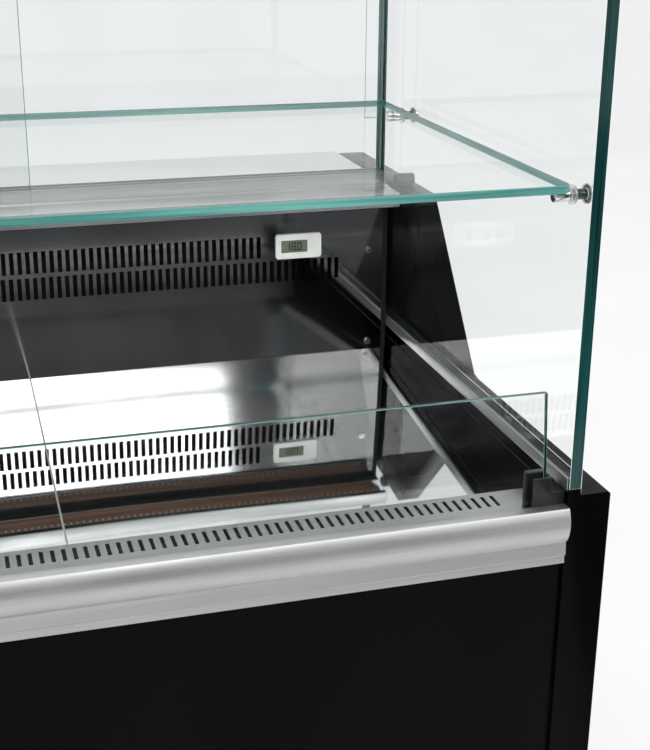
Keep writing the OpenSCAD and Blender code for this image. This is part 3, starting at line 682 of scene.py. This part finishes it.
def rocker_bezels():
    """A raised bezel round the opening of each rocker."""
    half_opening = (8.2 * MM, 12.4 * MM)
    half_bezel = (11.5 * MM, 15.5 * MM)
    thick = 1.6 * MM
    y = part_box("rear_panel")[1].y
    z = controls_height()
    for node in ("power_switch", "light_switch"):
        low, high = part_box(node)
        x = (low.x + high.x) / 2
        shape = bmesh.new()
        for side in (-1, 1):
            add_box(
                shape,
                (x + side * half_opening[0], y, z - half_bezel[1]),
                (x + side * half_bezel[0], y + thick, z + half_bezel[1]),
            )
            add_box(
                shape,
                (x - half_opening[0], y, z + side * half_opening[1]),
                (x + half_opening[0], y + thick, z + side * half_bezel[1]),
            )
        piece = from_bmesh(node + "_bezel", shape, "case", MATERIALS["black_plastic"])
        rounded(piece, 0.4 * MM)


def foot_nuts():
    """A lock nut on each foot's stem, under the base frame."""
    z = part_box("base_frame")[0].z - 36 * MM
    for row in ("front", "rear"):
        for side in ("left", "right"):
            node = f"foot_{row}_{side}"
            low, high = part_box(node)
            place = ((low.x + high.x) / 2, (low.y + high.y) / 2, z)
            shape = bmesh.new()
            add_disc(shape, place, (0, 0, 1), 14 * MM, 9 * MM, 6)
            piece = from_bmesh(node + "_nut", shape, NODE_BODY[node], MATERIALS["fastener_steel"])
            rounded(piece, 0.8 * MM)


# ---- Studio ----

def studio_floor():
    """A round pale floor that curves up into a low wall all round, far from the case."""
    radius = 9
    bend = 2
    bend_steps = 10
    profile = [Vector((0, 0, 0)), Vector((radius - bend, 0, 0))]
    for i in range(bend_steps):
        angle = math.radians(90 * (i + 1) / bend_steps)
        rise = Vector((bend * math.sin(angle), 0, bend - bend * math.cos(angle)))
        profile.append(profile[1] + rise)
    shape = bmesh.new()
    verts = [shape.verts.new(place) for place in profile]
    edges = [shape.edges.new(pair) for pair in zip(verts, verts[1:])]
    bmesh.ops.spin(
        shape, geom=verts + edges, cent=(0, 0, 0), axis=(0, 0, 1), angle=math.tau,
        steps=96, use_merge=True,
    )
    bmesh.ops.remove_doubles(shape, verts=shape.verts, dist=0.0001)
    floor = object_from("studio_floor", shape)
    floor.data.shade_smooth()
    bpy.context.scene.collection.objects.link(floor)
    surface = Surface("studio_floor", (0.86, 0.86, 0.87), roughness=0.8)
    surface.color_range(surface.noise(2), (0.85, 0.85, 0.86), (0.88, 0.88, 0.89))
    floor.data.materials.append(surface.material)


def dark_card(name, place, width, height):
    """An upright dark card in front of the case, which shows only in polished surfaces."""
    shape = bmesh.new()
    turn = Matrix.Rotation(math.radians(90), 4, "X") @ Matrix.Diagonal((width, height, 1, 1))
    bmesh.ops.create_grid(
        shape, x_segments=8, y_segments=2, size=0.5, matrix=Matrix.Translation(place) @ turn
    )
    card = object_from(name, shape)
    card.visible_camera = False
    card.visible_diffuse = False
    card.visible_shadow = False
    bpy.context.scene.collection.objects.link(card)
    surface = Surface(name, (0.05, 0.05, 0.05), roughness=0.9)
    surface.color_range(surface.noise(3), (0.028, 0.029, 0.033), (0.072, 0.074, 0.08))
    card.data.materials.append(surface.material)


def soft_light(name, place, target, size, power, turn=0.0):
    """A rectangular area light aimed at a target, turned about its own axis by turn degrees."""
    data = bpy.data.lights.new(name, "AREA")
    data.shape = "RECTANGLE"
    data.size, data.size_y = size
    data.energy = power
    light = bpy.data.objects.new(name, data)
    aim = (Vector(target) - Vector(place)).to_track_quat("-Z", "Y").to_matrix().to_4x4()
    spin = Matrix.Rotation(math.radians(turn), 4, "Z")
    light.matrix_world = Matrix.Translation(place) @ aim @ spin
    bpy.context.scene.collection.objects.link(light)


def studio_lights():
    """Soft boxes in front of the case, one over the floor behind it, and a white dome."""
    well = (0, 0, 0.95)
    soft_light("front_box_left", (-0.45, -2.6, 2.9), well, size=(2.7, 1.35), power=40, turn=8)
    soft_light("front_box_right", (2.05, -2.3, 2.8), well, size=(1.3, 1.5), power=16)
    soft_light("back_light", (0.6, 3.4, 5.0), (0.6, 3.6, 0.0), size=(6.0, 4.0), power=50)
    world = bpy.data.worlds.new("studio")
    world.use_nodes = True
    background = world.node_tree.nodes["Background"]
    background.inputs["Color"].default_value = (1, 1, 1, 1)
    background.inputs["Strength"].default_value = 0.92
    bpy.context.scene.world = world
    bpy.context.scene.view_settings.view_transform = "Standard"


def camera():
    """Stands in front of the case's middle, looking down at the right end of the well."""
    glass_corner = Vector(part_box("side_glass_right")[0])
    eye = glass_corner + Vector((-0.437, -0.819, 0.424))
    yaw = math.radians(16.6)
    pitch = math.radians(20.1)
    roll = math.radians(0.43)
    aim = Vector((
        math.sin(yaw) * math.cos(pitch), math.cos(yaw) * math.cos(pitch), -math.sin(pitch)
    ))
    data = bpy.data.cameras.new("camera")
    data.lens = 63.65
    data.sensor_width = 36
    data.clip_start = 0.02
    viewer = bpy.data.objects.new("camera", data)
    turn = aim.to_track_quat("-Z", "Y").to_matrix().to_4x4() @ Matrix.Rotation(roll, 4, "Z")
    viewer.matrix_world = Matrix.Translation(eye) @ turn
    bpy.context.scene.collection.objects.link(viewer)
    bpy.context.scene.camera = viewer


dress_nodes()
glass_panes()
softened_parts()
panel_screws()
display_digits()
light_strip()
light_gaskets()
lining_seams()
seals()
evaporator_bends()
condenser_bends()
compressor_seam()
knob_scale()
rocker_bezels()
foot_nuts()
studio_floor()
dark_card("dark_card_low", (0.6, -2.3, 0.4), width=5.0, height=0.8)
dark_card("dark_card_high", (0.0, -5.0, 2.9), width=16.0, height=3.4)
studio_lights()
camera()

bpy.context.view_layer.update()
